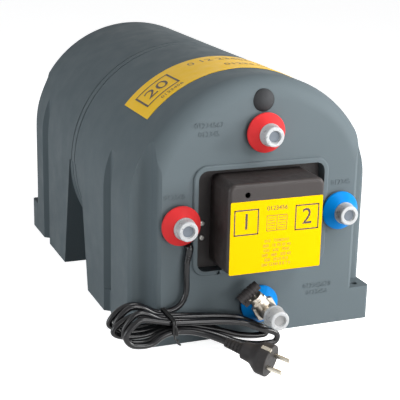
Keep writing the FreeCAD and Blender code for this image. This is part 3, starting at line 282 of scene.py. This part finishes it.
def lead_curve():
    points = [place(*LEAD_START), place(-94.6, -7.0, 86), place(-93.8, -7.4, 70), place(-97.5, -8.0, 57),
              place(-107, -8.8, 48.5)]
    for loop in range(LOOPS + 1):
        turn = left_half(loop)
        if loop < LOOPS:
            turn += right_half(loop)
        for phase, x, z in turn:
            points.append(place(x, HANK_BACK_Y - LOOP_PITCH * (loop + phase), z))
    points += [place(-107, -48, 36.2), place(-99, -50.2, 34.9), place(-83, -56.3, 31.1),
               place(*PLUG_ROOT)]
    return points


def nurbs_tube(name, points, radius, material, resolution=8, swell=None):
    """Round tube along points in metres. Swell gives each point its share of the radius."""
    curve = bpy.data.curves.new(name, "CURVE")
    curve.dimensions = "3D"
    curve.bevel_depth = radius
    curve.bevel_resolution = 5
    curve.use_fill_caps = True
    spline = curve.splines.new("NURBS")
    spline.points.add(len(points) - 1)
    for point, at, scale in zip(spline.points, points, swell or [1.0] * len(points)):
        point.co = (*at, 1)
        point.radius = scale
    spline.order_u = 3
    spline.use_endpoint_u = True
    spline.resolution_u = resolution
    curve.materials.append(material)
    piece = bpy.data.objects.new(name, curve)
    scene.collection.objects.link(piece)
    return piece


lead = nurbs_tube("mains_lead", lead_curve(), LEAD_RADIUS, lead_black)
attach(lead, "heater")
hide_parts("power_cord", "cord_hank", "cord_tail")


def gland_form():
    """Points and relative radii of the strain relief: flange, elbow and a sleeve that tapers to the lead."""
    forms = [(-91, -0.1, 121, 1.5), (-91, -1.5, 121, 1.5), (-91, -1.6, 121, 1.3), (-91, -4.0, 121, 1.3),
             (-91, -6.8, 120.5, 1.3), (-91.4, -6.8, 117.5, 1.27), (-92.2, -6.8, 113.5, 1.24)]
    for ring in range(4):
        z = 112.4 - 2.6 * ring
        x, full = -92.4 - 0.5 * ring, 1.23 - 0.045 * ring
        forms += [(x, -6.8, z, full - 0.1), (x - 0.1, -6.8, z - 0.7, full - 0.1),
                  (x - 0.15, -6.8, z - 0.9, full), (x - 0.3, -6.8, z - 1.9, full)]
    forms += [(-94.3, -6.8, 101.6, 1.08), (-94.4, -6.8, 101.0, 1.06)]
    return [place(*form[:3]) for form in forms], [form[3] for form in forms]


gland_points, gland_radii = gland_form()
gland = nurbs_tube("strain_relief", gland_points, LEAD_RADIUS, lead_black, swell=gland_radii)
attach(gland, "heater")
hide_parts("cord_gland")


def wire_tie():
    """Two turns of coated wire, crossed at the front, and their twisted ends."""
    back, front, low, high, corner = -4.3, -50.1, 31.6, 51.2, 3.0
    round_trip = [(front, low + corner), (front, high - corner), (front + corner, high),
                  (back - corner, high), (back, high - corner), (back, low + corner),
                  (back - corner, low), (front + corner, low)]
    points = []
    for index in range(2 * len(round_trip) + 1):
        y, z = round_trip[index % len(round_trip)]
        points.append(place(WAIST_X - 2.6 + 0.33 * index, y, z))
    start = points[0]
    points.append(place(WAIST_X + 1.0, front - 0.9, low + 12))
    points.append(place(WAIST_X - 2.0, front - 0.9, high - 5))
    tail = []
    for step in range(9):
        angle = 1.6 * step
        tail.append(start + Vector((0.0011 * math.cos(angle) + 0.0006 * step, -0.0012 - 0.0009 * step,
                                    0.0011 * math.sin(angle) - 0.0011 * step)))
    return tail[::-1] + points


tie = nurbs_tube("wire_tie", wire_tie(), 0.0011, tie_black)
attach(tie, "heater")
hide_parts("cord_tie")


# Springs of the inlet valve, each coiled between its fixed and its moving seat

def valve_spring(name, node, radius, fixed, moving, base, direction):
    """Coil between its fixed and its moving seat, given as distances along the axis in millimetres."""
    wire, clearance, turns, per_turn = 0.5, 0.05, 4, 14
    side = direction.orthogonal().normalized()
    other = direction.cross(side)
    sign = 1 if moving > fixed else -1
    start, end = fixed + sign * wire, moving - sign * (wire + clearance)
    points = []
    for step in range(turns * per_turn + 1):
        angle = 2 * math.pi * step / per_turn
        share = min(1.0, max(0.0, (step / per_turn - 0.5) / (turns - 1)))
        along = start + (end - start) * share
        around = side * math.cos(angle) + other * math.sin(angle)
        points.append(base + (direction * along + around * radius) / 1000)
    coil = nurbs_tube(name + "_wire", points, wire / 1000, zinc, resolution=3)
    coil.data.bevel_resolution = 2
    spring = bpy.data.objects.new(name, bpy.data.meshes.new_from_object(coil))
    bpy.data.objects.remove(coil)
    scene.collection.objects.link(spring)
    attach(spring, "heater")
    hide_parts(node)
    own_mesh(spring)


valve_spring("check_coil", "check_spring", radius=3.2, fixed=28.0, moving=40.45,
             base=place(0, 0, PORT_LOW_Z), direction=Vector((0, -1, 0)))
valve_spring("relief_coil", "relief_spring", radius=3.4, fixed=24.0, moving=13.6,
             base=place(*BONNET_FOOT), direction=Vector((-math.sin(BONNET_TILT), 0, math.cos(BONNET_TILT))))


# Numbers and lines that stand where the heater carries print

DIGIT_SHARE = 0.7
LABEL_Y, LABEL_Z = -43.86, 138.3
SIGN_X, SIGN_RISE, SIGN_HALF = 38, 18.5, 14.5
BAND_SIGN_ANGLE, BAND_SIGN_Y = -36.5, 112
BAND_RADIUS = 0.15384
BAND_STRIP = 0.008


def add_piece(name, data, material, body):
    if not data.materials:
        data.materials.append(material)
    piece = bpy.data.objects.new(name, data)
    scene.collection.objects.link(piece)
    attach(piece, body)
    return piece


def digits(name, lines, height, pitch, thick=0.0):
    """Centred text data in metres, from a digit height, a line pitch and a thickness in millimetres."""
    text = bpy.data.curves.new(name, "FONT")
    text.body = "\n".join(lines)
    text.align_x, text.align_y = "CENTER", "CENTER"
    text.size = height / DIGIT_SHARE / 1000
    text.space_line = pitch / (height / DIGIT_SHARE)
    text.resolution_u = 3
    text.extrude = thick / 1000
    return text


def face_digits(name, lines, height, pitch, at, material, thick=0.0, squeeze=1.0):
    piece = add_piece(name, digits(name, lines, height, pitch, thick), material, "heater")
    piece.location = place(*at)
    piece.rotation_euler = UPRIGHT
    piece.scale = (squeeze, 1, 1)


def stroke_mesh(name, strokes, width):
    """Flat lines of one width, each given as a list of (x, y) points in millimetres."""
    form = bmesh.new()
    for points in strokes:
        for (x0, y0), (x1, y1) in zip(points, points[1:]):
            along = Vector((x1 - x0, y1 - y0))
            along.normalize()
            side = Vector((-along.y, along.x)) * width / 2
            reach = along * width / 2
            corners = [(x0 - reach.x - side.x, y0 - reach.y - side.y),
                       (x1 + reach.x - side.x, y1 + reach.y - side.y),
                       (x1 + reach.x + side.x, y1 + reach.y + side.y),
                       (x0 - reach.x + side.x, y0 - reach.y + side.y)]
            form.faces.new([form.verts.new((x / 1000, y / 1000, 0)) for x, y in corners])
    mesh = bpy.data.meshes.new(name)
    form.to_mesh(mesh)
    form.free()
    return mesh


def frame_stroke(x, y, half_wide, half_tall):
    return [(x - half_wide, y - half_tall), (x + half_wide, y - half_tall), (x + half_wide, y + half_tall),
            (x - half_wide, y + half_tall), (x - half_wide, y - half_tall)]


def label_lines(name, strokes, width):
    piece = add_piece(name, stroke_mesh(name, strokes, width), print_brown, "heater")
    piece.location = place(0, LABEL_Y, LABEL_Z)
    piece.rotation_euler = UPRIGHT


label_lines("label_frames", [frame_stroke(-SIGN_X, SIGN_RISE, SIGN_HALF, SIGN_HALF),
                             frame_stroke(SIGN_X, SIGN_RISE, SIGN_HALF, SIGN_HALF)], 1.5)
label_lines("label_rules", [frame_stroke(0, 15, 12.5, 9), [(0, 6), (0, 24)]]
            + [[(side * 2.5, level), (side * 10.5, level)] for side in (-1, 1) for level in (9, 12, 15, 18, 21)],
            0.55)
face_digits("label_digit_left", ["1"], 19, 20, (-SIGN_X, LABEL_Y, LABEL_Z + SIGN_RISE), print_brown)
face_digits("label_digit_right", ["2"], 19, 20, (SIGN_X, LABEL_Y, LABEL_Z + SIGN_RISE), print_brown)
face_digits("label_digit_row", ["0123456"], 5.2, 6, (0, LABEL_Y, LABEL_Z + 32.5), print_brown)
rows = ["010   70080011", "020   10 20 30 40", "030   600   7000", "040   480   300 60", "050   0010 010",
        "060 12345 8 0 7 0"]
face_digits("label_digit_table", rows, 3.6, 5.7, (1, LABEL_Y, LABEL_Z - 20.5), print_pale,
            squeeze=0.95)

for name, lines, height, pitch, x, z in (
        ("casing_digits_top", ["01234567", "012345"], 6.2, 10.2, -67.5, 255.5),
        ("casing_digits_left", ["012345"], 6.2, 8, -108, 180),
        ("casing_digits_right", ["012345"], 6.2, 8, 104, 181),
        ("casing_digits_low", ["012345678", "0123456"], 6.0, 9.0, 79.5, 48)):
    face_digits(name, lines, height, pitch, (x, -0.05, z), casing, thick=0.45)


def on_drum(name, data, material, angle, y):
    """Flat data laid on the band label, its middle at an angle in degrees round the drum."""
    holder = bpy.data.objects.new(name + "_flat", data)
    mesh = bpy.data.meshes.new_from_object(holder)
    bpy.data.objects.remove(holder)
    form = bmesh.new()
    form.from_mesh(mesh)
    for edge in range(-12, 13):
        bmesh.ops.bisect_plane(form, geom=form.verts[:] + form.edges[:] + form.faces[:],
                               plane_co=(edge * BAND_STRIP, 0, 0), plane_no=(1, 0, 0))
    for vertex in form.verts:
        around = math.radians(angle) + vertex.co.x / BAND_RADIUS
        vertex.co = Vector((BAND_RADIUS * math.sin(around), vertex.co.y + y / 1000 + FACE_Y,
                            AXIS_Z / 1000 + BAND_RADIUS * math.cos(around)))
    form.normal_update()
    form.to_mesh(mesh)
    form.free()
    add_piece(name, mesh, material, "heater")


on_drum("band_frame", stroke_mesh("band_frame", [frame_stroke(0, 0, 24, 22)], 2.6), print_brown,
        BAND_SIGN_ANGLE, BAND_SIGN_Y)
on_drum("band_digit", digits("band_digit", ["20"], 24, 26), print_brown, BAND_SIGN_ANGLE, BAND_SIGN_Y)
on_drum("band_digits_front", digits("band_digits_front", ["0123456"], 6.5, 8), print_brown, -33, 79)
on_drum("band_digits_upper", digits("band_digits_upper", ["0 12 23456789"], 13, 18), print_dim, 4, 131)
on_drum("band_digits_lower", digits("band_digits_lower", ["01234 56 789"], 11, 18), print_dim, 12, 94)


# Grey discs in the fronts of the caps

CAP_DISH_Y, VALVE_CAP_DISH_Y = -28.02, -61.62
DISC_STEPS = 24


def cap_disc(name, centre, body, material=cap_grey):
    """Shallow disc of rings, each given by its radius and how far it stands out, in millimetres."""
    form = bmesh.new()
    rings = []
    for radius, rise in ((1.2, 0.25), (3.2, 0.18), (5.0, 0.1), (6.55, 0.04)):
        angles = [math.radians(360 / DISC_STEPS * step) for step in range(DISC_STEPS)]
        rings.append([form.verts.new((radius / 1000 * math.cos(angle), -rise / 1000,
                                      radius / 1000 * math.sin(angle))) for angle in angles])
    form.faces.new(rings[0])
    for inner, outer in zip(rings, rings[1:]):
        for step in range(DISC_STEPS):
            after = (step + 1) % DISC_STEPS
            form.faces.new((inner[step], outer[step], outer[after], inner[after]))
    bmesh.ops.recalc_face_normals(form, faces=form.faces)
    mesh = bpy.data.meshes.new(name)
    form.to_mesh(mesh)
    form.free()
    for polygon in mesh.polygons:
        polygon.use_smooth = True
    piece = add_piece(name, mesh, material, body)
    piece.location = place(*centre)


cap_disc("hot_cap_disc", (0, CAP_DISH_Y, PORT_TOP_Z), "hot_cap")
cap_disc("engine_inlet_cap_disc", (-PORT_SIDE_X, CAP_DISH_Y, PORT_SIDE_Z), "engine_inlet_protector")
cap_disc("engine_outlet_cap_disc", (PORT_SIDE_X, CAP_DISH_Y, PORT_SIDE_Z), "engine_outlet_protector")
cap_disc("valve_cap_disc", (0, VALVE_CAP_DISH_Y, PORT_LOW_Z), "valve_protector", cap_pale)


# Floor and light

WHITE = (1, 1, 1, 1)
FLOOR_GLOW = 0.85
WORLD_STRENGTH = 0.16


def sees_background(tree):
    """One for rays from the camera, and for those that metal or a clear piece sends on; else nought."""
    path = tree.nodes.new("ShaderNodeLightPath")
    factor = path.outputs["Is Camera Ray"]
    for kind in ("Is Glossy Ray", "Is Transmission Ray"):
        either = tree.nodes.new("ShaderNodeMath")
        either.operation = "MAXIMUM"
        tree.links.new(factor, either.inputs[0])
        tree.links.new(path.outputs[kind], either.inputs[1])
        factor = either.outputs[0]
    return factor


def add_floor():
    mesh = bpy.data.meshes.new("floor")
    form = bmesh.new()
    bmesh.ops.create_grid(form, x_segments=1, y_segments=1, size=6.0)
    form.to_mesh(mesh)
    form.free()
    material, tree, shader = new_material("floor_paper")
    tree.links.new(ramp(tree, noise(tree, 2.0), (0.74, 0.74, 0.74), (0.77, 0.77, 0.77)),
                   shader.inputs["Base Color"])
    shader.inputs["Roughness"].default_value = 0.9
    glow = tree.nodes.new("ShaderNodeMath")
    glow.operation = "MULTIPLY"
    glow.inputs[1].default_value = FLOOR_GLOW
    tree.links.new(sees_background(tree), glow.inputs[0])
    tree.links.new(glow.outputs[0], shader.inputs["Emission Strength"])
    shader.inputs["Emission Color"].default_value = WHITE
    mesh.materials.append(material)
    floor = bpy.data.objects.new("floor", mesh)
    scene.collection.objects.link(floor)


def add_world():
    world = bpy.data.worlds.new("studio")
    world.use_nodes = True
    tree = world.node_tree
    tree.nodes.clear()
    output = tree.nodes.new("ShaderNodeOutputWorld")
    dim = tree.nodes.new("ShaderNodeBackground")
    coordinates = tree.nodes.new("ShaderNodeTexCoord")
    split = tree.nodes.new("ShaderNodeSeparateXYZ")
    tree.links.new(coordinates.outputs["Generated"], split.inputs["Vector"])
    tree.links.new(ramp(tree, split.outputs["Z"], (0.9, 0.92, 0.95), (0.30, 0.32, 0.34), 0.05, 0.8),
                   dim.inputs["Color"])
    dim.inputs["Strength"].default_value = WORLD_STRENGTH
    white = tree.nodes.new("ShaderNodeBackground")
    white.inputs["Color"].default_value = WHITE
    mix = tree.nodes.new("ShaderNodeMixShader")
    tree.links.new(sees_background(tree), mix.inputs["Fac"])
    tree.links.new(dim.outputs[0], mix.inputs[1])
    tree.links.new(white.outputs[0], mix.inputs[2])
    tree.links.new(mix.outputs[0], output.inputs["Surface"])
    scene.world = world


def add_area(name, at, target, size, energy, colour=(1, 1, 1)):
    lamp = bpy.data.lights.new(name, "AREA")
    lamp.shape = "RECTANGLE"
    lamp.size, lamp.size_y = size
    lamp.energy = energy
    lamp.color = colour
    holder = bpy.data.objects.new(name, lamp)
    holder.location = at
    holder.rotation_euler = (Vector(target) - Vector(at)).to_track_quat("-Z", "Y").to_euler()
    scene.collection.objects.link(holder)


add_camera()
add_floor()
add_world()
add_area("right_light", (1.3, -0.9, 0.6), (0, -0.2, 0.15), (0.7, 0.7), 30)
add_area("top_light", (0.35, -0.75, 0.95), (0, -0.2, 0.2), (0.5, 0.5), 8)
add_area("left_light", (-1.55, -0.2, 0.5), (0, -0.1, 0.15), (0.9, 0.9), 14, (0.93, 0.97, 1.0))
add_area("front_light", (0.25, -1.5, 0.25), (0, -0.2, 0.1), (0.8, 0.4), 10)
scene.view_settings.view_transform = "Standard"
